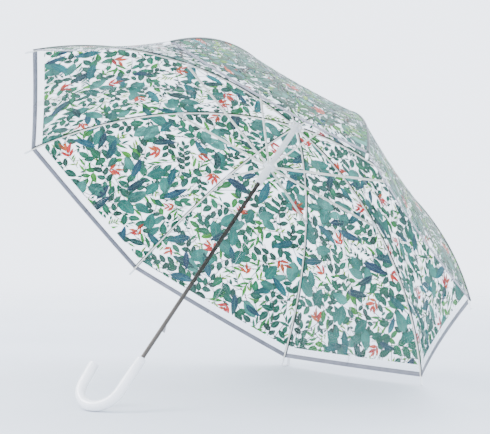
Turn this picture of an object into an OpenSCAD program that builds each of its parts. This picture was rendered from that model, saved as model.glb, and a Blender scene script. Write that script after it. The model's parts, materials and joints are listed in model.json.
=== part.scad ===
// Clear film umbrella with eight ribs, a steel shaft and a crook handle, open and laid down
// so that it stands on the bend of its crook and the tips of two neighbouring ribs.
//
// Inside this file the umbrella stands upright: Z runs up the shaft and is zero at the rib
// hinges in the crown. lay_down() tips it onto the floor, which is Z = 0 of the part's frame.

/* [Canopy] */
// Length of a rib along its curve, from the shaft's axis to the corner of the hem
rib_length = 577; // [480:1:690]
// Angle that an open rib turns through between the crown and the hem
rib_turn = 52.5; // [44:0.5:60]
// Thickness of the clear film
film_wall = 0.3; // [0.2:0.05:0.5]
// Gap between a rib and the film that lies over it
film_gap = 0.45; // [0.45:0.05:1.5]
// How far the middle of a gore sinks below its ribs, as a share of the gore's width
gore_sag = 0.02; // [0:0.005:0.05]

/* [Ribs and stretchers] */
// Diameter of the round rib
rib_d = 3.2; // [2.4:0.1:4.5]
// Distance along the rib from the axis to the clip that the stretcher is pinned to
clip_at = 254.5; // [200:0.5:320]
// Distance of the clip's pin below the middle of the rib
clip_drop = 5; // [5:0.1:8]
// Length of the clip along the rib
clip_length = 15; // [10:1:24]
// Height of the flat stretcher bar
stretcher_h = 4.2; // [3:0.1:4.2]
// Thickness of the stretcher bar and of the flat rib eye
stretcher_t = 2.2; // [1.6:0.1:2.6]
// Diameter of the pins and of the crown wire
pin_d = 1.3; // [1:0.1:1.6]
// How far a tip reaches past the hem
tip_length = 18; // [12:1:30]
// Diameter of a tip
tip_d = 5.2; // [4.8:0.1:7]

/* [Shaft and runner] */
// Outer diameter of the steel shaft
shaft_d = 8; // [7:0.5:10]
// Wall of the shaft
shaft_wall = 0.7; // [0.5:0.1:1]
// Depth of the runner's stretcher ring below the crown while the umbrella is open
ring_depth = 106; // [90:1:130]
// Length of the runner below its stretcher ring
runner_length = 45; // [36:1:60]
// Outer diameter of the runner's grip
runner_d = 16; // [14:0.5:18]
// Travel of the runner from open to closed
runner_travel = 374; // [300:1:460]
// Outer diameter of the stop sleeve between the crown and the runner
sleeve_d = 11.6; // [10.5:0.1:13]
// Length of the ferrule above the crown
ferrule_length = 44; // [24:1:80]
// Diameter of the ferrule's round end
ferrule_d = 9; // [6:0.5:12]

/* [Crook handle] */
// Depth of the handle's upper end below the crown
handle_depth = 586; // [480:1:720]
// Straight part of the handle above its bend
grip_length = 76; // [50:1:120]
// Radius of the bend along the middle of the handle
bend_r = 44; // [34:1:60]
// Angle of the bend
bend_turn = 174; // [150:1:185]
// Straight part of the handle after its bend
nose_length = 42; // [15:1:70]
// Diameter of the handle
handle_d = 19.6; // [16:0.2:24]
// Direction of the hook, measured around the shaft
hook_azimuth = 191; // [0:1:359]

/* [Fits] */
// Radial clearance of every pin in its eye and of the runner on the shaft
pin_gap = 0.05; // [0.02:0.01:0.1]
// Clearance beside a flat part that swings in a slot
side_gap = 0.35; // [0.3:0.05:0.8]

/* [Hidden] */
rib_count = 8;
half_gore = 180 / rib_count;
// An open rib is a plain arc of this radius, level where it meets the crown.
dome_r = rib_length / (rib_turn * PI / 180);
rim_r = dome_r * sin(rib_turn);
rim_drop = dome_r * (1 - cos(rib_turn));
clip_turn = clip_at / (dome_r * PI / 180);

// Crown: a slotted disc that the eight rib eyes hang in, on one wire.
notch_pin_r = 9;
wire_groove_r = notch_pin_r / cos(half_gore) + pin_d / 2 + 0.2;
notch_r = 12;
notch_floor = -3.2;
notch_top = 2.6;
hub_r = 6.2;
eye_d = stretcher_h;
slot_w = stretcher_t + 2 * side_gap;
tongue_length = 8;
tongue_h = 3;
washer_r = notch_r + 1.6;
washer_t = 0.6;
film_start_r = washer_r + 0.6;

// Film: inner and outer radius of the sheet over a rib, and the slit between two sheets.
film_in_r = dome_r + rib_d / 2 + film_gap;
film_out_r = film_in_r + film_wall;
film_slit = 0.4;
film_rows = 14;
film_columns = 4;

// Runner and the closed stretcher ring.
ring_r = 11.4;
ring_h = 6;
ring_flange_r = 12.8;
runner_top = -ring_depth + ring_h / 2;
runner_floor = -ring_depth - runner_length;
runner_neck_d = runner_d - 2.6;
neck_length = 12;
window_w = 5;
window_top = -ring_depth - 24;
window_floor = runner_floor + 5;
sleeve_top = notch_floor - 5.2;
sleeve_floor = runner_top + 1.2;
sleeve_taper = 9;

// Catches: spring tongues in slots of the shaft, all on one side of it.
catch_azimuth = 55;
catch_t = 1.6;
catch_length = 36;
catch_reach = runner_d / 2 + 0.8;
catch_pivot_r = 2;
catch_step = 0.3;
upper_step_z = window_top - catch_step;
lower_step_z = window_floor - runner_travel + catch_step;

shaft_top = 12;
handle_socket = 45;
ferrule_skirt_r = 12.4;
ferrule_skirt_h = 3;
ferrule_cone_h = 13;

// Strap: a strip that hangs from the hem beside one tip and ends in a snap on the floor.
strap_rib = 3;
strap_from_rib = 13;
strap_w = 9;
strap_t = 0.8;
strap_on_floor = 13;
strap_bend = 3;
snap_d = 8;
snap_h = 2;

steel = [0.62, 0.63, 0.66];
white_plastic = [0.95, 0.95, 0.96];
ivory = [0.92, 0.92, 0.88];
clear_film = [0.75, 0.88, 0.84, 0.35];

function rib_azimuth(k) = 360 / rib_count * (k - 0.5);

// A point in a rib's own plane: X out from the shaft, Z up.
function rib_point(turn, radius = dome_r) = [radius * sin(turn), 0, radius * cos(turn) - dome_r];

// Resting pose. lean is the angle between the shaft and the floor. It is the angle at which
// two rib tips and the bend of the crook reach equally far down.
tip_ball_r = tip_d / 2;
tip_end = rib_point(rib_turn) + (tip_length - tip_ball_r) * [cos(rib_turn), 0, -sin(rib_turn)];
tip_out = tip_end.x * cos(half_gore);
bend_z = -handle_depth - grip_length;
handle_r = handle_d / 2;

function tip_reach(side, down) = tip_out * side - tip_end.z * down + tip_ball_r;
function bend_reach(side, down) = bend_r * sin(hook_azimuth) * side - bend_z * down
    + bend_r * norm([sin(hook_azimuth) * side, down]) + handle_r;
function lean_gap(angle) =
    tip_reach(cos(angle), sin(angle)) - bend_reach(cos(angle), sin(angle));
function find_lean(low, high, steps) =
    let (middle = (low + high) / 2)
    steps == 0 ? middle
    : lean_gap(middle) > 0 ? find_lean(middle, high, steps - 1)
    : find_lean(low, middle, steps - 1);

lean = find_lean(0, 90, 40);
crown_height = tip_reach(cos(lean), sin(lean));

// Reach of the part behind and in front of the crown, which centres it on the origin.
bulge_turn = min(rib_turn, atan2(cos(half_gore) * sin(lean), cos(lean)));
bulge_point = rib_point(bulge_turn, film_out_r);
film_back = bulge_point.x * cos(half_gore) * sin(lean) + bulge_point.z * cos(lean);
back_reach = max(film_back, tip_reach(sin(lean), -cos(lean)));
front_reach = max(tip_reach(sin(lean), cos(lean)), bend_reach(-sin(lean), cos(lean)));
rest_shift = (front_reach - back_reach) / 2;

module lay_down() {
    translate([0, rest_shift, crown_height])
        rotate([lean - 90, 0, 0])
            children();
}

module in_rib_plane(k) {
    rotate([0, 0, rib_azimuth(k)])
        children();
}

// Moves to a point of the rib, with X along the rib and Z out of the dome.
module on_rib(turn) {
    translate(rib_point(turn))
        rotate([0, turn, 0])
            children();
}

// A bar with a true circular section that follows the rib.
module rib_arc(from, to, radius) {
    rotate([90, 0, 0])
        translate([0, -dome_r, 0])
            rotate([0, 0, 90 - to])
                rotate_extrude(angle = to - from, $fn = 180)
                    translate([dome_r, 0])
                        circle(r = radius, $fn = 48);
}

// A cylinder across the rib's plane, which is how every pin and eye lies.
module cross_pin(diameter, width) {
    rotate([90, 0, 0])
        cylinder(d = diameter, h = width, center = true, $fn = 48);
}

// A plain ring about the shaft.
module collar(z_from, z_to, outer_r, inner_r) {
    translate([0, 0, z_from])
        difference() {
            cylinder(r = outer_r, h = z_to - z_from, $fn = 96);
            translate([0, 0, -1])
                cylinder(r = inner_r, h = z_to - z_from + 2, $fn = 96);
        }
}

module shaft_tube() {
    bottom = -handle_depth - handle_socket;
    color(steel)
        difference() {
            collar(bottom, shaft_top, shaft_d / 2, shaft_d / 2 - shaft_wall);
            translate([0, 0, upper_step_z])
                catch_slot();
            translate([0, 0, lower_step_z])
                mirror([0, 0, 1])
                    catch_slot();
        }
}

// Opening in the shaft's wall that a catch stands out of, below the step at Z = 0.
module catch_slot() {
    slot_length = catch_length / 2 + 3;
    rotate([0, 0, catch_azimuth])
        translate([0, -catch_t / 2 - side_gap, 1 - slot_length])
            cube([shaft_d, catch_t + 2 * side_gap, slot_length]);
}

// A spring tongue that runs down the inside of the shaft from its step at Z = 0.
module catch() {
    spring_w = 1.7;
    color(steel)
        rotate([0, 0, catch_azimuth])
            rotate([90, 0, 0])
                translate([0, 0, -catch_t / 2])
                    linear_extrude(catch_t)
                        polygon([
                            [catch_pivot_r - spring_w / 2, -catch_length],
                            [catch_pivot_r + spring_w / 2, -catch_length],
                            [catch_pivot_r + spring_w / 2, -catch_length / 2],
                            [catch_reach, -1.5],
                            [catch_reach, 0],
                            [catch_pivot_r + 0.6, 0]
                        ]);
}

// Its step carries the top edge of the runner's window while the umbrella is open.
module upper_catch() {
    translate([0, 0, upper_step_z])
        catch();
}

// Its step holds the lower edge of the window when the umbrella is closed.
module lower_catch() {
    translate([0, 0, lower_step_z])
        mirror([0, 0, 1])
            catch();
}

module crown_notch() {
    color(white_plastic)
        difference() {
            union() {
                collar(notch_floor, notch_top, notch_r, shaft_d / 2 + pin_gap);
                collar(notch_floor - 5, notch_floor + 1, hub_r, shaft_d / 2 + pin_gap);
            }
            for (k = [1 : rib_count])
                in_rib_plane(k)
                    translate([hub_r + 0.2, -slot_w / 2, notch_floor - 1])
                        cube([notch_r, slot_w, notch_top - notch_floor + 2]);
            collar(-pin_d / 2 - 0.2, notch_top + 1, wire_groove_r, notch_pin_r - pin_d / 2 - 0.2);
        }
}

// The wire that all rib eyes turn on: one straight run through each eye, joined end to end.
module wire_ring(diameter) {
    side = 2 * notch_pin_r * tan(half_gore);
    for (k = [1 : rib_count])
        in_rib_plane(k)
            translate([notch_pin_r, 0, 0]) {
                cross_pin(diameter, side);
                translate([0, side / 2, 0])
                    sphere(d = diameter, $fn = 48);
            }
}

module crown_wire() {
    color(steel)
        wire_ring(pin_d);
}

module canopy_washer() {
    color(clear_film)
        collar(notch_top, notch_top + washer_t, washer_r, shaft_d / 2 + pin_gap);
}

module ferrule() {
    base = notch_top + washer_t;
    color(white_plastic)
        translate([0, 0, base])
            difference() {
                union() {
                    cylinder(r = ferrule_skirt_r, h = ferrule_skirt_h, $fn = 96);
                    translate([0, 0, ferrule_skirt_h])
                        cylinder(r1 = ferrule_skirt_r, r2 = ferrule_d / 2 + 1.4,
                                 h = ferrule_cone_h - ferrule_skirt_h, $fn = 96);
                    cylinder(d = ferrule_d, h = ferrule_length - ferrule_d / 2, $fn = 96);
                    translate([0, 0, ferrule_length - ferrule_d / 2])
                        sphere(d = ferrule_d, $fn = 96);
                }
                translate([0, 0, -1])
                    cylinder(d = shaft_d + 2 * pin_gap, h = shaft_top - base + 1.2, $fn = 96);
            }
}

module stop_sleeve() {
    bore = shaft_d / 2 + pin_gap;
    color(white_plastic) {
        difference() {
            union() {
                translate([0, 0, sleeve_floor + sleeve_taper])
                    cylinder(d = sleeve_d, h = sleeve_top - sleeve_floor - sleeve_taper, $fn = 96);
                translate([0, 0, sleeve_floor])
                    cylinder(r1 = bore + 0.6, r2 = sleeve_d / 2, h = sleeve_taper, $fn = 96);
            }
            translate([0, 0, sleeve_floor - 1])
                cylinder(r = bore, h = sleeve_top - sleeve_floor + 2, $fn = 96);
        }
    }
}

module runner() {
    bore = shaft_d / 2 + pin_gap;
    color(white_plastic)
        difference() {
            union() {
                collar(-ring_depth - ring_h / 2, runner_top, ring_flange_r, bore);
                collar(runner_floor, runner_top, runner_neck_d / 2, bore);
                collar(runner_floor, -ring_depth - neck_length, runner_d / 2, bore);
            }
            for (k = [1 : rib_count])
                in_rib_plane(k)
                    translate([ring_r - stretcher_h / 2 - 0.5, -slot_w / 2, -ring_depth - ring_h])
                        cube([ring_flange_r, slot_w, 2 * ring_h]);
            rotate([0, 0, catch_azimuth])
                translate([0, -window_w / 2, window_floor])
                    cube([runner_d, window_w, window_top - window_floor]);
        }
}

module crook_handle() {
    color(white_plastic)
        difference() {
            rotate([0, 0, hook_azimuth])
                crook();
            translate([0, 0, -handle_depth - handle_socket - 1])
                cylinder(d = shaft_d + 2 * pin_gap, h = handle_socket + 2, $fn = 96);
        }
}

// Grip, bend and nose of the crook, with the hook toward +X.
module crook() {
    collar_r = handle_r - 0.9;
    core_r = handle_r - 2;
    core_half = 3;
    translate([0, 0, bend_z])
        cylinder(r1 = handle_r, r2 = collar_r, h = grip_length - 3, $fn = 96);
    translate([0, 0, bend_z - core_half])
        cylinder(r = core_r, h = 2 * core_half, $fn = 96);
    translate([0, 0, bend_z + grip_length - 3])
        cylinder(r1 = collar_r, r2 = collar_r - 1.2, h = 3, $fn = 96);
    translate([bend_r, 0, bend_z])
        rotate([90, 0, 0])
            rotate([0, 0, 180]) {
                rotate_extrude(angle = bend_turn, $fn = 180)
                    translate([bend_r, 0])
                        circle(r = handle_r, $fn = 96);
                rotate([0, 0, bend_turn])
                    translate([bend_r, 0, 0]) {
                        rotate([-90, 0, 0])
                            cylinder(r = handle_r, h = nose_length, $fn = 96);
                        translate([0, -core_half, 0])
                            rotate([-90, 0, 0])
                                cylinder(r = core_r, h = 2 * core_half, $fn = 96);
                        translate([0, nose_length, 0])
                            sphere(r = handle_r, $fn = 96);
                    }
            }
}

// Flat tongue and eye at the crown, then a round bar out to the socket of the tip.
module rib(k) {
    tongue_end = notch_pin_r + tongue_length;
    rod_start = asin((tongue_end - 1.5) / dome_r);
    rod_end = rib_turn + tip_length / 2 / (dome_r * PI / 180);
    color(ivory)
        in_rib_plane(k)
            difference() {
                union() {
                    rib_arc(rod_start, rod_end, rib_d / 2);
                    translate([notch_pin_r, -stretcher_t / 2, -tongue_h / 2])
                        cube([tongue_length, stretcher_t, tongue_h]);
                    translate([notch_pin_r, 0, 0])
                        cross_pin(eye_d, stretcher_t);
                }
                translate([notch_pin_r, 0, 0])
                    cross_pin(pin_d + 2 * pin_gap, slot_w);
            }
}

// Cap on the rib's end, just past the hem.
module rib_tip(k) {
    start = 0.6;
    color(white_plastic)
        in_rib_plane(k)
            on_rib(rib_turn)
                rotate([0, 90, 0])
                    difference() {
                        union() {
                            translate([0, 0, start])
                                cylinder(d = tip_d, h = tip_length - tip_ball_r - start, $fn = 48);
                            translate([0, 0, tip_length - tip_ball_r])
                                sphere(d = tip_d, $fn = 48);
                        }
                        cylinder(d = rib_d + 4 * pin_gap, h = tip_length / 2 + 0.5, $fn = 48);
                    }
}

// Saddle under the rib with two cheeks, and the pin that the stretcher's end turns on.
module rib_clip(k) {
    cheek_t = 1.1;
    saddle_floor = rib_d / 2 + 0.7;
    saddle_top = rib_d / 2 - 0.6;
    half_w = slot_w / 2 + cheek_t;
    color(white_plastic)
        in_rib_plane(k)
            on_rib(clip_turn)
                difference() {
                    union() {
                        translate([-clip_length / 2, -half_w, -saddle_floor])
                            cube([clip_length, 2 * half_w, saddle_floor + saddle_top]);
                        for (side = [-1, 1])
                            clip_cheek(side * (slot_w + cheek_t) / 2, cheek_t);
                        translate([0, 0, -clip_drop])
                            cross_pin(pin_d, 2 * half_w - 0.2);
                    }
                    cylinder_along_x(rib_d + 4 * pin_gap, clip_length + 2);
                }
}

module cylinder_along_x(diameter, width) {
    rotate([0, 90, 0])
        cylinder(d = diameter, h = width, center = true, $fn = 48);
}

module clip_cheek(middle_y, thickness) {
    translate([-eye_d / 2, middle_y - thickness / 2, -clip_drop])
        cube([eye_d, thickness, clip_drop]);
    translate([0, middle_y, -clip_drop])
        cross_pin(eye_d, thickness);
}

// Flat bar from the clip's pin down to the runner's slot. The end in the slot is free.
clip_pin = rib_point(clip_turn) - clip_drop * [sin(clip_turn), 0, cos(clip_turn)];
stretcher_run = [ring_r, 0, -ring_depth] - clip_pin;
stretcher_length = norm(stretcher_run);
stretcher_fall = atan2(-stretcher_run.z, -stretcher_run.x);

module stretcher(k) {
    color(ivory)
        in_rib_plane(k)
            translate(clip_pin)
                rotate([0, 180 - stretcher_fall, 0])
                    difference() {
                        union() {
                            translate([0, -stretcher_t / 2, -stretcher_h / 2])
                                cube([stretcher_length, stretcher_t, stretcher_h]);
                            cross_pin(stretcher_h, stretcher_t);
                            translate([stretcher_length, 0, 0])
                                cross_pin(stretcher_h, stretcher_t);
                        }
                        cross_pin(pin_d + 2 * pin_gap, slot_w);
                    }
}

// A point of the film over rib 0 and the half gore beside it. across is the distance from
// the seam along the straight line between two ribs, out of width, which reaches mid gore.
// The sag draws each point towards the dome's centre, so mid gore stays on its own plane.
function film_point(radius, turn, across, width) =
    let (
        share = across / width,
        drawn = 1 - gore_sag * 2 * width * share * (2 - share) / radius,
        out = radius * sin(turn) - across * sin(half_gore)
    )
    [drawn * out, drawn * across * cos(half_gore), drawn * radius * cos(turn) - dome_r];

function film_sheet(radius) = [
    for (row = [0 : film_rows])
        let (
            start_turn = asin(film_start_r / film_in_r),
            turn = start_turn + (rib_turn - start_turn) * row / film_rows,
            width = radius * sin(turn) * sin(half_gore)
        )
        for (column = [0 : film_columns])
            let (across = film_slit / 2 + (width - film_slit) * column / film_columns)
            film_point(radius, turn, across, width)
];

// One half gore: the film from a rib's seam to the middle of the gore, as a closed solid.
module half_gore_film() {
    across = film_columns + 1;
    sheet = (film_rows + 1) * across;
    last = film_rows * across;
    function cell(a, b, c, d) = [[a, b, c], [a, c, d]];
    outer_faces = [
        for (row = [0 : film_rows - 1])
            for (column = [0 : film_columns - 1])
                let (corner = row * across + column)
                for (face = cell(corner, corner + 1, corner + across + 1, corner + across))
                    face
    ];
    inner_faces = [for (face = outer_faces) [face[2] + sheet, face[1] + sheet, face[0] + sheet]];
    side_faces = [
        for (row = [0 : film_rows - 1])
            let (
                seam = row * across,
                middle = seam + film_columns
            )
            for (face = concat(
                cell(seam, seam + across, seam + across + sheet, seam + sheet),
                cell(middle + across, middle, middle + sheet, middle + across + sheet)
            ))
                face
    ];
    end_faces = [
        for (column = [0 : film_columns - 1])
            for (face = concat(
                cell(column + 1, column, column + sheet, column + 1 + sheet),
                cell(last + column, last + column + 1, last + column + 1 + sheet, last + column + sheet)
            ))
                face
    ];
    polyhedron(
        points = concat(film_sheet(film_out_r), film_sheet(film_in_r)),
        faces = concat(outer_faces, inner_faces, side_faces, end_faces)
    );
}

module gore_left(k) {
    color(clear_film)
        in_rib_plane(k)
            half_gore_film();
}

module gore_right(k) {
    color(clear_film)
        in_rib_plane(k)
            mirror([0, 1, 0])
                half_gore_film();
}

// Place under the hem where the strap is sewn on, with Z straight up in the resting pose.
strap_seam = film_point(film_in_r, rib_turn, strap_from_rib, rim_r * sin(half_gore));
strap_gap = 0.5;

module at_strap() {
    in_rib_plane(strap_rib)
        translate([strap_seam.x, -strap_seam.y, strap_seam.z])
            rotate([0, 0, -rib_azimuth(strap_rib)])
                rotate([90 - lean, 0, 0])
                    children();
}

function turned_y(point, angle) = point.x * sin(angle) + point.y * cos(angle);
strap_seam_y = turned_y([strap_seam.x, -strap_seam.y], rib_azimuth(strap_rib));
strap_height = crown_height - strap_seam_y * cos(lean) + strap_seam.z * sin(lean) - 0.4;

// Side view of the strap: straight down, round the bend and along the floor toward -Y.
module strap_side() {
    translate([-strap_t / 2, strap_bend + strap_t - strap_height])
        square([strap_t, strap_height - strap_bend - strap_t - strap_gap]);
    translate([-strap_t / 2 - strap_bend, strap_bend + strap_t - strap_height])
        rotate([0, 0, -90])
            difference() {
                intersection() {
                    circle(r = strap_bend + strap_t, $fn = 96);
                    square(strap_bend + strap_t);
                }
                circle(r = strap_bend, $fn = 96);
            }
    translate([-strap_t / 2 - strap_bend - strap_on_floor, -strap_height])
        square([strap_on_floor, strap_t]);
}

module tie_strap() {
    color(clear_film)
        at_strap()
            rotate([0, 0, 90])
                rotate([90, 0, 0])
                    translate([0, 0, -strap_w / 2])
                        linear_extrude(strap_w)
                            strap_side();
}

module strap_snap() {
    color(white_plastic)
        at_strap()
            translate([0, -strap_bend - strap_on_floor + snap_d / 2, strap_t - strap_height])
                cylinder(d = snap_d, h = snap_h, $fn = 64);
}

function numbered(name) = [for (k = [1 : rib_count]) str(name, "_", k)];

lay_down() shaft_tube();
lay_down() crook_handle();
lay_down() crown_notch();
lay_down() crown_wire();
lay_down() ferrule();
lay_down() stop_sleeve();
lay_down() canopy_washer();
lay_down() upper_catch();
lay_down() lower_catch();
lay_down() runner();
lay_down() tie_strap();
lay_down() strap_snap();
for (k = [1 : rib_count]) {
    lay_down() rib(k);
    lay_down() rib_tip(k);
    lay_down() rib_clip(k);
    lay_down() stretcher(k);
    lay_down() gore_left(k);
    lay_down() gore_right(k);
}
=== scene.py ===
"""Looks of a clear film stick umbrella with a printed leaf pattern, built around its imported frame."""
import json
import math

import bpy
import numpy as np
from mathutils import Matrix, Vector


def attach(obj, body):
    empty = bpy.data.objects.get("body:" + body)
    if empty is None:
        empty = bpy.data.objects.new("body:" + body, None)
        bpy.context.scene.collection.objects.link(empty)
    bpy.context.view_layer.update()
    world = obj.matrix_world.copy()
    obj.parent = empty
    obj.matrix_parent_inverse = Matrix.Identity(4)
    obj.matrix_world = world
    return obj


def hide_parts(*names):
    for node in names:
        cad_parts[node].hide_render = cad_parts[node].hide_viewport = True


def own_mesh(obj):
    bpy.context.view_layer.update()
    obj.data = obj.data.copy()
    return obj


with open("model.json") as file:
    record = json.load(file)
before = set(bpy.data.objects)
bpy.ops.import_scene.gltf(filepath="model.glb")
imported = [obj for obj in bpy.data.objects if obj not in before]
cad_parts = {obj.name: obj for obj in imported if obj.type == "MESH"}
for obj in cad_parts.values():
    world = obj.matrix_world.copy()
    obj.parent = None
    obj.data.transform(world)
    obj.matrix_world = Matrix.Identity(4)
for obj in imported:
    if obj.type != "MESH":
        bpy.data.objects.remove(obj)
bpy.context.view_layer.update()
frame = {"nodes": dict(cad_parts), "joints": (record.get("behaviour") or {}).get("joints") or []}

# ---- sizes of the canopy, in metres and radians ----
HALF_GORE = math.radians(22.5)
RIB_TURN = math.radians(52.5)
DOME_R = 0.6297079
ROD_R = 0.0016
ROD_TO_FILM = 0.00045
FILM_WALL = 0.0003
FILM_R = DOME_R + ROD_R + ROD_TO_FILM + FILM_WALL / 2
FILM_LENGTH = FILM_R * RIB_TURN
GORE_SAG = 0.02
WASHER_EDGE = 0.0138
WASHER_GAP = 0.004
FILM_ROWS, FILM_COLUMNS = 48, 13
HEM_BAND = 0.0085
HEM_LIFT = 0.00032
HEM_ROLL = 0.0004
HEM_WALL = 0.00012
HEM_COLUMNS = 25
CLEAR_BORDER = 0.023
SEAM_MARGIN = 0.0016
SEAM_HALF = 0.0036
SEAM_LIFT = 0.0009
SEAM_RISE = 0.0005
SEAM_WALL = 0.0004
SEAM_ROWS, SEAM_COLUMNS = 60, 7

joints = {joint["name"]: joint for joint in frame["joints"]}
SHAFT_UP = -np.array(joints["runner_slide"]["axis"])
HINGES = [np.array(joints[f"rib_{k}_fold"]["pos_m"]) for k in range(1, 9)]
CROWN = np.mean(HINGES, axis=0)


def rib_axes(k):
    """Three unit rows for rib k: outward from the shaft, sideways, and up the shaft."""
    sideways = np.array(joints[f"rib_{k}_fold"]["axis"])
    return np.array([np.cross(sideways, SHAFT_UP), sideways, SHAFT_UP])


def gore_width(along):
    """Half the width of a flat gore: dome radius x sine of the turn x sine of half a gore."""
    return FILM_R * np.sin(along / FILM_R) * math.sin(HALF_GORE)


def on_film(k, side, across, along, lift):
    """Points on rib k's half of a gore. A point lies across metres from the rib's seam, on the
    straight line to the next rib, along metres down the arc from the crown, and lift above the
    film. Between ribs the film is drawn towards the dome's centre by sag x gap x share x (2 - share)."""
    turn = along / FILM_R
    width = gore_width(along)
    share = across / np.maximum(width, 1e-6)
    radius = FILM_R + lift
    drawn = 1 - GORE_SAG * 2 * width * share * (2 - share) / radius
    local = np.stack(
        [
            drawn * (radius * np.sin(turn) - across * math.sin(HALF_GORE)),
            drawn * side * across * math.cos(HALF_GORE),
            drawn * radius * np.cos(turn) - DOME_R,
        ],
        axis=-1,
    )
    return CROWN + local @ rib_axes(k)


# ---- meshes ----
def grid_faces(rows, columns, flip=False):
    """Four-cornered faces of a grid of rows x columns points, turned over if flip is true."""
    corner = (np.arange(rows - 1)[:, None] * columns + np.arange(columns - 1)).reshape(-1, 1)
    faces = corner + np.array([0, columns, columns + 1, 1])
    return faces[:, ::-1] if flip else faces


def new_piece(name, points, faces, finish, uv=None, inks=None):
    """A smooth-shaded mesh object of those points and faces, with a UV pair and an ink at each
    point where they are given."""
    mesh = bpy.data.meshes.new(name)
    mesh.from_pydata(np.asarray(points, float).reshape(-1, 3).tolist(), [], faces.tolist())
    mesh.polygons.foreach_set("use_smooth", np.ones(len(mesh.polygons), bool))
    corners = np.empty(len(mesh.loops), np.int32)
    mesh.loops.foreach_get("vertex_index", corners)
    if uv is not None:
        layer = mesh.uv_layers.new(name="along")
        layer.data.foreach_set("uv", np.asarray(uv, np.float32)[corners].ravel())
    if inks is not None:
        colours = np.concatenate([inks, np.ones((len(inks), 1))], axis=1)
        layer = mesh.color_attributes.new("ink", "FLOAT_COLOR", "POINT")
        layer.data.foreach_set("color", colours.astype(np.float32).ravel())
    mesh.materials.append(finish)
    piece = bpy.data.objects.new(name, mesh)
    bpy.context.scene.collection.objects.link(piece)
    return piece


def give_wall(piece, thickness):
    """Gives a surface its real thickness, half of it to either side."""
    wall = piece.modifiers.new("wall", "SOLIDIFY")
    wall.thickness = thickness
    wall.offset = 0.0
    wall.use_even_offset = False


# ---- materials ----
class Wire:
    """An output socket of a material's node; sums on it add Math nodes."""

    def __init__(self, finish, socket):
        self.finish = finish
        self.socket = socket

    def __add__(self, other):
        return self.finish.sum("ADD", self, other)

    def __sub__(self, other):
        return self.finish.sum("SUBTRACT", self, other)

    def __mul__(self, other):
        return self.finish.sum("MULTIPLY", self, other)

    def __rsub__(self, other):
        return self.finish.sum("SUBTRACT", other, self)

    __radd__ = __add__
    __rmul__ = __mul__


class Finish:
    """One material being made, on an empty node tree."""

    def __init__(self, name):
        self.material = bpy.data.materials.new(name)
        self.material.use_nodes = True
        self.tree = self.material.node_tree
        self.tree.nodes.clear()

    def add(self, kind, settings=None, inputs=None, out=0):
        """A node of that kind: its settings first, then values or links for its sockets."""
        node = self.tree.nodes.new(kind)
        for key, value in (settings or {}).items():
            setattr(node, key, value)
        for key, value in (inputs or {}).items():
            if isinstance(value, Wire):
                self.tree.links.new(value.socket, node.inputs[key])
            else:
                node.inputs[key].default_value = value
        return Wire(self, node.outputs[out]) if len(node.outputs) else None

    def sum(self, operation, *values):
        """A Math node on those values or sockets."""
        return self.add("ShaderNodeMath", {"operation": operation}, dict(enumerate(values)))

    def place(self):
        """The piece's own coordinates, in metres."""
        return self.add("ShaderNodeTexCoord", out=3)

    def noise(self, scale, detail=3.0):
        """Noise on the piece's own coordinates, in cells of 1 / scale metres."""
        inputs = {"Vector": self.place(), "Scale": scale, "Detail": detail}
        return self.add("ShaderNodeTexNoise", None, inputs)

    def ramp(self, value, low, high, start=0.0, end=1.0):
        """value carried from low..high to start..end in a smooth step."""
        return self.add(
            "ShaderNodeMapRange",
            {"interpolation_type": "SMOOTHSTEP"},
            {"Value": value, "From Min": low, "From Max": high, "To Min": start, "To Max": end},
        )

    def blend(self, share, first, second, kind="MIX"):
        """Mixes the second colour into the first by share."""
        settings = {"data_type": "RGBA", "blend_type": kind}
        return self.add("ShaderNodeMix", settings, {0: share, 6: first, 7: second}, out=2)

    def bump(self, height, strength, distance):
        """Small relief for a Normal socket, from a height of distance metres."""
        inputs = {"Height": height, "Strength": strength, "Distance": distance}
        return self.add("ShaderNodeBump", None, inputs)

    def surface(self, **sockets):
        """The Principled shader with those sockets; Base_Color stands for Base Color."""
        inputs = {key.replace("_", " "): value for key, value in sockets.items()}
        return self.add("ShaderNodeBsdfPrincipled", None, inputs)

    def done(self, shader):
        """The finished material, with that shader on its surface."""
        self.add("ShaderNodeOutputMaterial", None, {"Surface": shader})
        return self.material


INK_DEPTH = 0.40
INK_CURVE = 2.6
INK_CHROMA = 0.38
INK_LEAST = 0.0008


def ink(red, green, blue):
    """A print colour as light, from its red, green and blue as seen, each 0 to 1: depth x seen
    to the curve's power, pushed away from its own mean by the chroma."""
    light = INK_DEPTH * np.array([red, green, blue]) ** INK_CURVE
    return np.maximum(light + INK_CHROMA * (light - light.mean()), INK_LEAST)


def clear_film(name, body, tint):
    """Clear soft vinyl: mostly lets light through, with a dark gloss that grows from body, seen
    square on, to its full share at a slant, and a faint uneven haze."""
    f = Finish(name)
    ripple = f.noise(9.0, 2.0) + f.noise(60.0, 1.0) * 0.15
    slant = f.add("ShaderNodeLayerWeight", None, {"Blend": 0.35}, out=1)
    haze = f.ramp(f.noise(14.0, 3.0), 0.35, 0.75, 0.0, 0.008)
    share = f.ramp(slant, 0.4, 1.0, body, 0.30) + haze
    gloss = f.surface(
        Base_Color=(*tint, 1),
        Metallic=1.0,
        Roughness=f.ramp(f.noise(30.0), 0.3, 0.7, 0.05, 0.14),
        Normal=f.bump(ripple, 0.25, 0.004),
    )
    through = f.add("ShaderNodeBsdfTransparent", None, {"Color": (0.965, 0.975, 0.985, 1)})
    return f.done(f.add("ShaderNodeMixShader", None, {0: share, 1: through, 2: gloss}))


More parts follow.
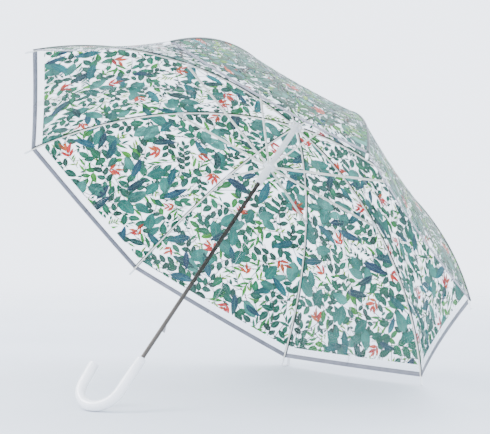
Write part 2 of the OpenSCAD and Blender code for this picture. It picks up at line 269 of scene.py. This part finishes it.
def printed_ink():
    """Printed leaves: each leaf's own colour, a paler midrib, fine side veins and wet mottling."""
    f = Finish("leaf_print")
    colour = f.add("ShaderNodeAttribute", {"attribute_name": "ink"})
    where = f.add("ShaderNodeUVMap", {"uv_map": "along"})
    across = f.add("ShaderNodeSeparateXYZ", None, {0: where})
    along = f.add("ShaderNodeSeparateXYZ", None, {0: where}, out=1)
    off_rib = f.sum("ABSOLUTE", across - 0.5)
    midrib = f.ramp(off_rib, 0.02, 0.09, 1.0, 0.0)
    wave = f.sum("SINE", along * 62.0 - off_rib * 34.0)
    veins = f.ramp(wave, 0.6, 1.0, 0.0, 0.22)
    rim = f.ramp(off_rib, 0.36, 0.5, 0.0, 0.22)
    mottle = f.ramp(f.noise(220.0, 4.0), 0.3, 0.7, 0.0, 0.45)
    shade = f.blend(mottle, colour, f.blend(1.0, colour, (0.66, 0.86, 0.84, 1), "MULTIPLY"))
    shade = f.blend(rim, shade, f.blend(1.0, colour, (0.4, 0.45, 0.5, 1), "MULTIPLY"))
    pale = f.blend(0.35, colour, (0.16, 0.34, 0.27, 1))
    shade = f.blend(f.sum("MINIMUM", midrib * 0.55 + veins, 0.6), shade, pale)
    front = f.surface(Base_Color=shade, Roughness=f.ramp(f.noise(90.0), 0.3, 0.7, 0.3, 0.45))
    behind = f.add("ShaderNodeBsdfTranslucent", None, {"Color": shade})
    return f.done(f.add("ShaderNodeMixShader", None, {0: 0.3, 1: front, 2: behind}))


def hem_band():
    """Heat-folded lavender grey edge binding, satin, with a fine pressed grain."""
    f = Finish("hem_binding")
    tone = f.ramp(f.noise(45.0, 4.0), 0.3, 0.7, 0.0, 1.0)
    colour = f.blend(tone, (0.13, 0.135, 0.165, 1), (0.17, 0.175, 0.21, 1))
    return f.done(
        f.surface(
            Base_Color=colour,
            Roughness=f.ramp(f.noise(160.0), 0.3, 0.7, 0.32, 0.5),
            Normal=f.bump(f.noise(700.0, 2.0), 0.2, 0.0004),
        )
    )


def moulded(name, low, high, rough, coat, grain=500.0):
    """Moulded plastic: two close tones, soft unevenness, and a fine satin grain."""
    f = Finish(name)
    colour = f.blend(f.ramp(f.noise(28.0, 4.0), 0.3, 0.7), (*low, 1), (*high, 1))
    height = f.noise(grain, 2.0) * 0.5 + f.noise(60.0, 2.0)
    return f.done(
        f.surface(
            Base_Color=colour,
            Roughness=f.ramp(f.noise(70.0, 4.0), 0.3, 0.7, rough, rough + 0.12),
            Coat_Weight=coat,
            Coat_Roughness=0.06,
            Normal=f.bump(height, 0.06, 0.0006),
        )
    )


def drawn_steel(name, tone):
    """Bright drawn steel: long streaks along the shaft and a few rubbed patches."""
    f = Finish(name)
    turn = math.atan2(SHAFT_UP[1], SHAFT_UP[2])
    where = f.add("ShaderNodeMapping", None, {"Vector": f.place(), "Rotation": (turn, 0, 0)})
    where = f.add("ShaderNodeMapping", None, {"Vector": where, "Scale": (60.0, 60.0, 1.2)})
    streak = f.add("ShaderNodeTexNoise", None, {"Vector": where, "Scale": 18.0, "Detail": 4.0})
    rubbed = f.noise(24.0, 5.0)
    colour = f.blend(f.ramp(streak, 0.35, 0.65), (*(tone * 0.72), 1), (*tone, 1))
    rough = f.ramp(rubbed, 0.45, 0.75, 0.14, 0.3) + f.ramp(streak, 0.3, 0.7, 0.0, 0.08)
    return f.done(
        f.surface(
            Base_Color=colour,
            Metallic=1.0,
            Roughness=rough,
            Normal=f.bump(streak, 0.08, 0.0003),
        )
    )


film_finish = clear_film("clear_film", 0.010, (0.40, 0.41, 0.41))
# Near-black teal, laid as a stripe over the film along every rib line.
rib_stripe_finish = moulded("dark_rib_stripe", (0.002, 0.012, 0.010), (0.012, 0.04, 0.034), 0.35, 0.1, 900.0)
strap_finish = moulded("strap_film", (0.60, 0.62, 0.66), (0.70, 0.72, 0.76), 0.22, 0.4)
ink_finish = printed_ink()
hem_finish = hem_band()
handle_finish = moulded("gloss_white", (0.80, 0.81, 0.84), (0.88, 0.885, 0.90), 0.16, 0.6)
fitting_finish = moulded("satin_white", (0.76, 0.77, 0.79), (0.85, 0.86, 0.87), 0.34, 0.15)
ivory_finish = moulded("ivory_rod", (0.70, 0.69, 0.62), (0.79, 0.78, 0.72), 0.36, 0.1)
steel_finish = drawn_steel("drawn_steel", np.array([0.085, 0.078, 0.070]))
spring_finish = drawn_steel("spring_steel", np.array([0.30, 0.30, 0.31]))

# ---- print ----
DEEP = [ink(0.12, 0.36, 0.46), ink(0.18, 0.48, 0.54), ink(0.30, 0.62, 0.62), ink(0.10, 0.40, 0.38)]
TEAL = [ink(0.14, 0.48, 0.38), ink(0.20, 0.56, 0.46), ink(0.26, 0.60, 0.44), ink(0.16, 0.48, 0.42)]
PINE = [ink(0.10, 0.36, 0.29), ink(0.14, 0.44, 0.37), ink(0.18, 0.50, 0.40)]
LEAF = [ink(0.32, 0.66, 0.32), ink(0.46, 0.76, 0.36), ink(0.20, 0.54, 0.36)]
LIME = [ink(0.62, 0.82, 0.28), ink(0.48, 0.74, 0.28), ink(0.76, 0.88, 0.40)]
MIST = [ink(0.40, 0.68, 0.62), ink(0.34, 0.60, 0.54), ink(0.54, 0.78, 0.72)]
CORAL = [ink(1.0, 0.40, 0.14), ink(1.0, 0.58, 0.26), ink(0.94, 0.30, 0.20)]
BERRY = [ink(0.60, 0.40, 0.42), ink(0.74, 0.54, 0.52)]
BARK = ink(0.40, 0.32, 0.27)
MOSS = ink(0.22, 0.42, 0.28)
# A kind of sprig: how many start in a gore, its leaves, stem length, leaf length, leaf width, the
# angle between leaf and stem, how round a leaf's outline is (less is rounder), stem ink, leaf inks.
SPRIGS = [
    (9, 10, 0.016, 0.0220, 0.0072, 0.85, 0.90, MOSS, CORAL),
    (11, 2, 0.040, 0.060, 0.0190, 0.95, 0.70, MOSS, DEEP),
    (11, 3, 0.040, 0.046, 0.0260, 0.85, 0.62, MOSS, MIST),
    (20, 7, 0.076, 0.028, 0.0155, 0.90, 0.66, MOSS, TEAL),
    (22, 10, 0.088, 0.0215, 0.0130, 0.95, 0.60, BARK, PINE),
    (16, 7, 0.066, 0.0260, 0.0130, 0.85, 0.66, MOSS, LEAF),
    (26, 12, 0.100, 0.0290, 0.0068, 0.66, 0.95, MOSS, LEAF),
    (26, 24, 0.078, 0.0155, 0.0046, 0.90, 0.80, MOSS, LIME),
    (30, 22, 0.074, 0.0110, 0.0054, 1.05, 0.66, BARK, PINE),
    (24, 16, 0.080, 0.0210, 0.0056, 0.80, 0.95, BARK, TEAL),
    (20, 14, 0.070, 0.0034, 0.0032, 1.10, 0.50, BARK, BERRY),
    (26, 8, 0.050, 0.0160, 0.0085, 0.95, 0.66, BARK, PINE),
]
# The root of x^3 = x + 1: steps of 1 / x and 1 / x^2 spread points evenly over a square.
EVEN_STEP = 1.3247179572447
STATIONS = 8
COLUMNS = np.array([-1.0, 0.0, 1.0])
LEAST_OUTLINE = 0.03
BELLY = 0.82
STEM_WIDTH = 0.0016
STEM_ROUND = 0.12
STEM_BEND = 0.9
FIRST_LEAF = 0.10
LEAF_CLOSING = 0.4
LEAF_SWAY = 0.09
LEAF_BEND = 0.3
SPRIG_SIZES = (0.85, 1.15)
LEAF_SIZES = (0.88, 1.12)
LEAF_TONES = (0.82, 1.18)
PRINT_LOW, PRINT_HIGH = 0.00022, 0.00085
# Room on the film is counted in cells of a square, 1.5 film lengths wide, that has the gore's middle
# line in its own middle and starts a tenth of itself above the crown. A stem takes no room.
CELL = 0.0033
LEAF_OVERLAP = 0.31
STEM_OVERLAP = 0.75
STEM_WIDEST = 0.0017
WIDTH_COLUMN = 5


def curve_points(x, s, heading, bend, length, share):
    """A point at share of an arc that starts at (x, s) and turns from heading by bend: the start
    plus length x share x sinc(half the turn), at the mean heading. Also gives its heading."""
    half = bend * share / 2
    reach = length * share * np.sinc(half / math.pi)
    return x + reach * np.cos(heading + half), s + reach * np.sin(heading + half), heading + 2 * half


def sprig(rng, x, s, heading, kind):
    """One stem and its leaves, the largest nearly half way up it. A row is x, s, heading, bend,
    length, width, roundness, belly (over 1 is widest nearer the tip) and the inks at root and tip."""
    _, count, stem, leaf, width, spread, roundness, stem_ink, inks = kind
    bend = rng.uniform(-STEM_BEND, STEM_BEND)
    size = rng.uniform(*SPRIG_SIZES)
    share = np.linspace(FIRST_LEAF, 1.0, count)
    px, ps, direction = curve_points(x, s, heading, bend, stem * size, share)
    side = np.where(np.arange(count) % 2, 1.0, -1.0)
    side[-1] = 0.0
    turned = direction + side * spread * (1 - LEAF_CLOSING * share) + rng.normal(0, LEAF_SWAY, count)
    grown = size * (1.05 - 0.4 * np.abs(share - 0.4)) * rng.uniform(*LEAF_SIZES, count)
    picks = rng.integers(0, len(inks), (2, count))
    tone = rng.uniform(*LEAF_TONES, (count, 1))
    rows = np.column_stack(
        [
            px,
            ps,
            turned,
            rng.normal(0, LEAF_BEND, count),
            leaf * grown,
            width * grown,
            np.full(count, roundness),
            np.full(count, BELLY),
            np.array(inks)[picks[0]] * tone,
            np.array(inks)[picks[1]] * tone,
        ]
    )
    stalk = [x, s, heading, bend, stem * size, STEM_WIDTH, STEM_ROUND, 1.0, *stem_ink, *stem_ink]
    return np.vstack([stalk, rows])


def gore_print(seed):
    """All leaves of one flat gore. Sprigs start at points of an even two-way sequence, spread
    over the gore by area, and head out in every direction, the large kinds first. A leaf that
    would mostly lie on earlier ones is left out."""
    rng = np.random.default_rng(seed)
    sprigs = []
    for kind in SPRIGS:
        shift = rng.uniform(0, 1, 2)
        number = np.arange(kind[0])
        sideways = (shift[0] + number / EVEN_STEP) % 1
        down = (shift[1] + number / EVEN_STEP**2) % 1
        along = np.arccos(1 - down * (1 - math.cos(RIB_TURN))) * FILM_R
        x = (2 * sideways - 1) * gore_width(along)
        heading = rng.uniform(0, 2 * math.pi, kind[0])
        x = x - kind[2] / 2 * np.cos(heading)
        along = along - kind[2] / 2 * np.sin(heading)
        sprigs += [sprig(rng, *start, kind) for start in zip(x, along, heading)]
    rows = np.vstack(sprigs)
    px, ps, _, _ = leaf_grids(rows)
    span = int(1.5 * FILM_LENGTH / CELL)
    taken = np.zeros((span, span), bool)
    cells = np.stack([px / CELL + span / 2, ps / CELL + 0.1 * span], axis=-1).astype(int)
    cells = np.clip(cells.reshape(len(rows), -1, 2), 0, span - 1)
    is_leaf = rows[:, WIDTH_COLUMN] > STEM_WIDEST
    kept = np.zeros(len(rows), bool)
    for i, spot in enumerate(cells):
        overlap = taken[spot[:, 0], spot[:, 1]].mean()
        kept[i] = overlap < (LEAF_OVERLAP if is_leaf[i] else STEM_OVERLAP)
        if kept[i] and is_leaf[i]:
            taken[spot[:, 0], spot[:, 1]] = True
    return rows[kept]


def leaf_grids(rows):
    """Grid points (leaf, station, column) of each leaf in the flat: its curved midrib, and to
    either side width / 2 x sin(pi x share^belly)^roundness. Also their UVs and inks."""
    share = np.linspace(0, 1, STATIONS)[None, :]
    x, s, heading, bend, length, width, roundness, belly = (rows[:, i, None] for i in range(8))
    mx, ms, direction = curve_points(x, s, heading, bend, length, share)
    outline = np.maximum(np.sin(math.pi * share**belly), LEAST_OUTLINE) ** roundness
    half = (width / 2 * outline)[:, :, None]
    px = mx[:, :, None] - COLUMNS * half * np.sin(direction)[:, :, None]
    ps = ms[:, :, None] + COLUMNS * half * np.cos(direction)[:, :, None]
    uv = np.stack(np.broadcast_arrays((COLUMNS + 1) / 2, share[:, :, None]), axis=-1)
    uv = np.broadcast_to(uv, (*px.shape, 2))
    root, tip = rows[:, None, None, 8:11], rows[:, None, None, 11:14]
    mixed = root + (tip - root) * share[:, :, None, None]
    return px, ps, uv, np.broadcast_to(mixed, (*px.shape, 3))


def print_half(name, k, side, rows):
    """The leaves that show on one half gore. Grid points past its seam, its middle line or its
    borders are moved onto them, and faces that lie wholly there are left out."""
    px, ps, uv, mixed = leaf_grids(rows)
    order = (np.arange(len(rows)) + 0.5) / len(rows)
    lift = np.broadcast_to((PRINT_LOW + (PRINT_HIGH - PRINT_LOW) * order)[:, None, None], px.shape)
    along = np.clip(ps, WASHER_EDGE + WASHER_GAP, FILM_LENGTH - CLEAR_BORDER)
    width = gore_width(along)
    from_seam = width + side * px
    across = np.clip(from_seam, np.minimum(SEAM_MARGIN, width), width)
    cut = (along != ps) | (across != from_seam)
    shown = ~cut.reshape(len(rows), -1).all(axis=1)
    cells = grid_faces(STATIONS, len(COLUMNS))
    first = np.nonzero(shown)[0][:, None, None] * STATIONS * len(COLUMNS)
    faces = (first + cells).reshape(-1, 4)
    faces = faces[~cut.ravel()[faces].all(axis=1)]
    used, faces = np.unique(faces, return_inverse=True)
    points = on_film(k, side, across.ravel()[used], along.ravel()[used], lift.ravel()[used])
    return new_piece(
        name,
        points,
        faces.reshape(-1, 4),
        ink_finish,
        uv=uv.reshape(-1, 2)[used],
        inks=mixed.reshape(-1, 3)[used],
    )


# ---- canopy ----
def flatten_and_ride(piece, body):
    """Gives a piece its own mesh and puts it on that body."""
    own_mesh(piece)
    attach(piece, body)


# The hem binding's outline, as length past the film's edge and lift, from under the film to over it.
HEM_PROFILE = np.array(
    [
        (-HEM_BAND, -HEM_LIFT),
        (HEM_ROLL, -HEM_LIFT),
        (2 * HEM_ROLL, 0.0),
        (HEM_ROLL, HEM_LIFT),
        (-HEM_BAND, HEM_LIFT),
    ]
)


def half_gore(k, side, word, rows):
    """The film of one half gore, with its print and hem binding."""
    down = np.linspace(WASHER_EDGE, FILM_LENGTH, FILM_ROWS)
    along, share = np.meshgrid(down, np.linspace(0, 1, FILM_COLUMNS), indexing="ij")
    points = on_film(k, side, share * gore_width(along), along, 0.0)
    faces = grid_faces(FILM_ROWS, FILM_COLUMNS, flip=side < 0)
    uv = np.stack([share, along / FILM_LENGTH], axis=-1).reshape(-1, 2)
    film = new_piece(f"film_{word}_{k}", points, faces, film_finish, uv=uv)
    give_wall(film, FILM_WALL)

    leaves = print_half(f"print_{word}_{k}", k, side, rows)

    share = np.linspace(0, 1, HEM_COLUMNS)
    along = np.broadcast_to(FILM_LENGTH + HEM_PROFILE[:, :1], (len(HEM_PROFILE), HEM_COLUMNS))
    lift = np.broadcast_to(HEM_PROFILE[:, 1:], along.shape)
    points = on_film(k, side, share * gore_width(along), along, lift)
    faces = grid_faces(len(HEM_PROFILE), HEM_COLUMNS, flip=side > 0)
    hem = new_piece(f"hem_{word}_{k}", points, faces, hem_finish)
    give_wall(hem, HEM_WALL)

    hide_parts(f"gore_{word}_{k}")
    for piece in (film, leaves, hem):
        flatten_and_ride(piece, f"gore_{k}_{word}_half")
    float(gore_width(FILM_LENGTH))


def dark_rib_stripe(k):
    """A near-black stripe along rib k: a low bead, a cosine across, from washer to hem."""
    down = np.linspace(WASHER_EDGE + WASHER_GAP, FILM_LENGTH, SEAM_ROWS)
    offsets = np.linspace(-SEAM_HALF, SEAM_HALF, SEAM_COLUMNS)
    along, offset = np.meshgrid(down, offsets, indexing="ij")
    side = np.where(offset < 0, -1.0, 1.0)
    lift = SEAM_LIFT + SEAM_RISE * np.cos(offset / SEAM_HALF * math.pi / 2)
    points = on_film(k, side, np.abs(offset), along, lift)
    stripe = new_piece(f"dark_rib_stripe_{k}", points, grid_faces(SEAM_ROWS, SEAM_COLUMNS), rib_stripe_finish)
    give_wall(stripe, SEAM_WALL)
    flatten_and_ride(stripe, f"rib_{k}_arm")


FIRST_SEED = 41

for k in range(1, 9):
    leaves_of_gore = gore_print(FIRST_SEED + k - 1)
    half_gore(k, 1, "left", leaves_of_gore)
    half_gore(k % 8 + 1, -1, "right", leaves_of_gore)
    dark_rib_stripe(k)

# ---- finishes of the frame's own parts ----
FINISHES = {
    "shaft_tube": steel_finish,
    "crown_wire": spring_finish,
    "upper_catch": spring_finish,
    "lower_catch": spring_finish,
    "crook_handle": handle_finish,
    "tie_strap": strap_finish,
}
for name, node in frame["nodes"].items():
    ivory = name.startswith(("rib_", "stretcher_")) and not name.startswith(("rib_tip", "rib_clip"))
    finish = FINISHES.get(name, ivory_finish if ivory else fitting_finish)
    node.data.materials.clear()
    node.data.materials.append(finish)

# ---- floor, light and camera ----
FLOOR_R = 2.6
FADE_FROM = 0.85
FLOOR_RINGS = 24
FLOOR_SPOKES = 96


def studio_floor():
    """A round floor of cool pale grey that fades out in the distance: rings of points, the first
    one filled by a single face."""
    ring = np.linspace(0, FLOOR_R, FLOOR_RINGS + 1)[1:]
    turn = np.linspace(0, 2 * math.pi, FLOOR_SPOKES + 1)[:-1]
    x, y = np.outer(ring, np.cos(turn)), np.outer(ring, np.sin(turn))
    points = np.stack([x, y, np.zeros_like(x)], axis=-1)
    mesh = bpy.data.meshes.new("floor")
    row, spoke = np.arange(FLOOR_RINGS)[:, None] * FLOOR_SPOKES, np.arange(FLOOR_SPOKES)
    start = row + spoke
    after = row + (spoke + 1) % FLOOR_SPOKES
    faces = np.stack([start[:-1], start[1:], after[1:], after[:-1]], axis=-1).reshape(-1, 4).tolist()
    faces.append(list(range(FLOOR_SPOKES)))
    mesh.from_pydata(points.reshape(-1, 3).tolist(), [], faces)
    f = Finish("pale_floor")
    colour = f.blend(f.ramp(f.noise(3.0), 0.3, 0.7), (0.60, 0.64, 0.69, 1), (0.64, 0.68, 0.73, 1))
    distance = f.add("ShaderNodeVectorMath", {"operation": "LENGTH"}, {0: f.place()}, out=1)
    fade = f.ramp(distance, FADE_FROM, FLOOR_R)
    ground = f.surface(Base_Color=colour, Roughness=0.6)
    clear = f.add("ShaderNodeBsdfTransparent")
    mixed = f.add("ShaderNodeMixShader", None, {0: fade, 1: ground, 2: clear})
    mesh.materials.append(f.done(mixed))
    floor = bpy.data.objects.new("floor", mesh)
    bpy.context.scene.collection.objects.link(floor)


def point_at(thing, place, aim):
    """Puts a lamp or camera at place, looking at aim."""
    thing.location = place
    thing.rotation_mode = "QUATERNION"
    thing.rotation_quaternion = (Vector(aim) - Vector(place)).to_track_quat("-Z", "Y")
    bpy.context.scene.collection.objects.link(thing)


def soft_light(name, place, size, power, colour):
    """A square lamp that shines from place towards the umbrella."""
    lamp = bpy.data.lights.new(name, "AREA")
    lamp.shape = "SQUARE"
    lamp.size = size
    lamp.energy = power
    lamp.color = colour
    point_at(bpy.data.objects.new(name, lamp), place, LAMP_AIM)


def pale_surroundings():
    """Even, slightly blue light from all round."""
    world = bpy.data.worlds.new("studio")
    world.use_nodes = True
    backdrop = world.node_tree.nodes["Background"]
    backdrop.inputs["Color"].default_value = (0.83, 0.885, 1.0, 1)
    backdrop.inputs["Strength"].default_value = 4.3
    bpy.context.scene.world = world


LAMP_AIM = (0, 0, 0.3)
CAMERA_PLACE = (2.192, -2.099, 0.507)
CAMERA_AIM = (-0.0269, 0.0594, 0.3389)

studio_floor()
pale_surroundings()
soft_light("window_light", (-2.4, -2.2, 3.2), 1.6, 210, (1.0, 0.985, 0.96))
soft_light("fill_light", (3.2, 1.8, 2.4), 2.4, 40, (0.92, 0.95, 1.0))

lens = bpy.data.cameras.new("camera")
lens.lens = 115.9
lens.sensor_width = 36
camera = bpy.data.objects.new("camera", lens)
point_at(camera, CAMERA_PLACE, CAMERA_AIM)
bpy.context.scene.camera = camera
